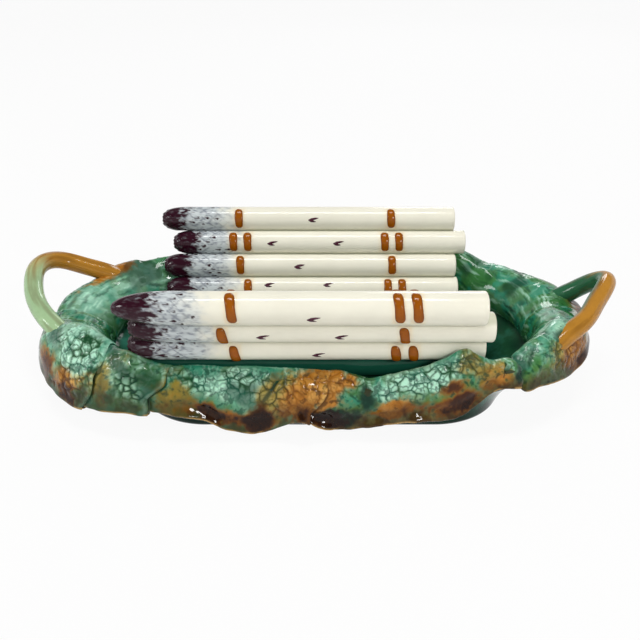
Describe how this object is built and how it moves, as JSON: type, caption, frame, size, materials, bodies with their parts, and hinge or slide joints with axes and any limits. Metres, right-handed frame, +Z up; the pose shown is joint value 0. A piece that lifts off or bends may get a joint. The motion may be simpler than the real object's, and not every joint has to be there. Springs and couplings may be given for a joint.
{
  "type": "asparagus plate",
  "caption": "Oblong glazed earthenware dish with a folded leaf border, branch handles at its ends and a raised cradle of leaning asparagus stalks that holds cooked asparagus",
  "frame": {"origin": "middle of the flat base on the table", "axes": "+X along the stalks from the tips to the cut ends, +Y from the low front border to the high back border, +Z up"},
  "size_m": [0.4279, 0.1921, 0.1049],
  "materials": {
    "basin_glaze": "glossy dark green glaze",
    "stalk_glaze": "glossy ivory glaze, purple at the tips",
    "straw_glaze": "glossy amber glaze",
    "leaf_glaze": "glossy turquoise and green glaze with amber patches, pooled dark in the grooves",
    "branch_glaze": "glossy amber glaze running into green"
  },
  "bodies": {
    "root": {"basin": "basin_glaze", "cradle_bed": "basin_glaze", "front_stalk_1": "stalk_glaze", "front_stalk_2": "stalk_glaze", "front_stalk_3": "stalk_glaze", "front_stalk_4": "stalk_glaze", "back_stalk_1": "stalk_glaze", "back_stalk_2": "stalk_glaze", "back_stalk_3": "stalk_glaze", "back_stalk_4": "stalk_glaze", "front_binding_left": "straw_glaze", "front_binding_right": "straw_glaze", "back_binding_left": "straw_glaze", "back_binding_right": "straw_glaze", "left_front_leaf": "leaf_glaze", "front_left_leaf": "leaf_glaze", "front_middle_leaf": "leaf_glaze", "front_right_leaf": "leaf_glaze", "right_front_leaf": "leaf_glaze", "right_back_leaf": "leaf_glaze", "back_right_leaf": "leaf_glaze", "back_left_leaf": "leaf_glaze", "left_back_leaf": "leaf_glaze", "handle_left": "branch_glaze", "handle_right": "branch_glaze"}
  },
  "joints": []
}
